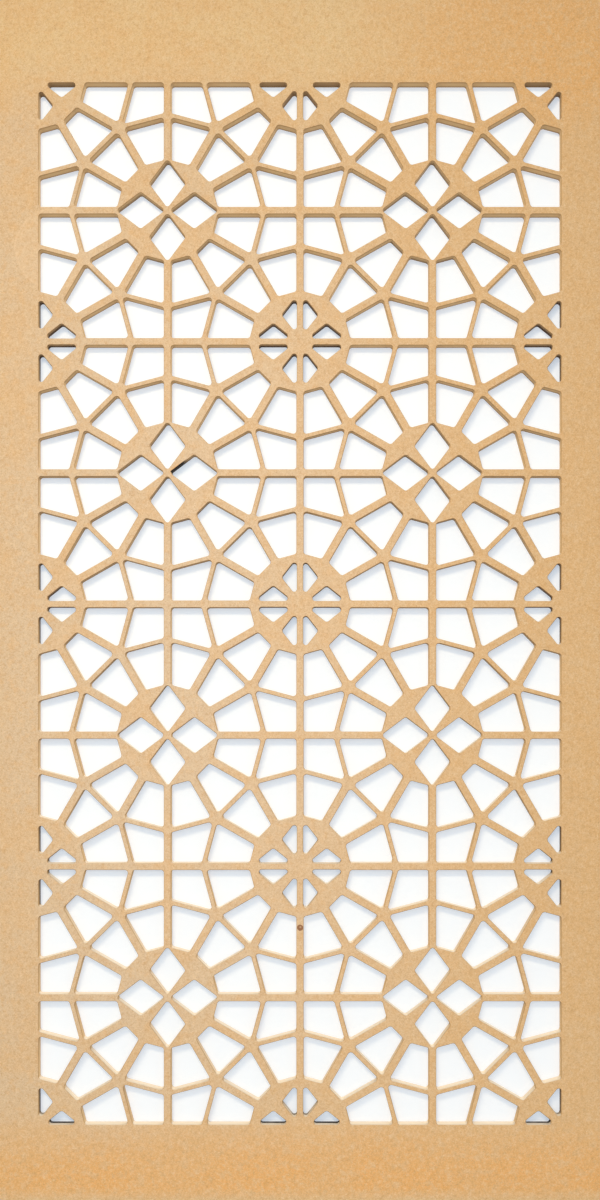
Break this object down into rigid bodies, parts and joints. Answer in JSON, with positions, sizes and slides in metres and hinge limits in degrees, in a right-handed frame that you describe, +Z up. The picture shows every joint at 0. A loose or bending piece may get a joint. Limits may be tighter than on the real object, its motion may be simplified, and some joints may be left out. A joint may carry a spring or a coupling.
{
  "type": "mashrabiya screen",
  "caption": "Flat lattice screen panel cut from solid board, with star rosettes joined by thin bars inside a plain border.",
  "frame": {"origin": "on the flat back, behind the centre of the middle rosette", "axes": "+Z up along the panel's height, +X along its width, the front faces -Y and the back faces +Y"},
  "size_m": [0.6, 0.009, 1.2],
  "materials": {
    "fibreboard": "bare medium-density fibreboard, dull tan with a fine fibre speckle"
  },
  "bodies": {
    "root": {"screen_panel": "fibreboard"}
  },
  "joints": []
}
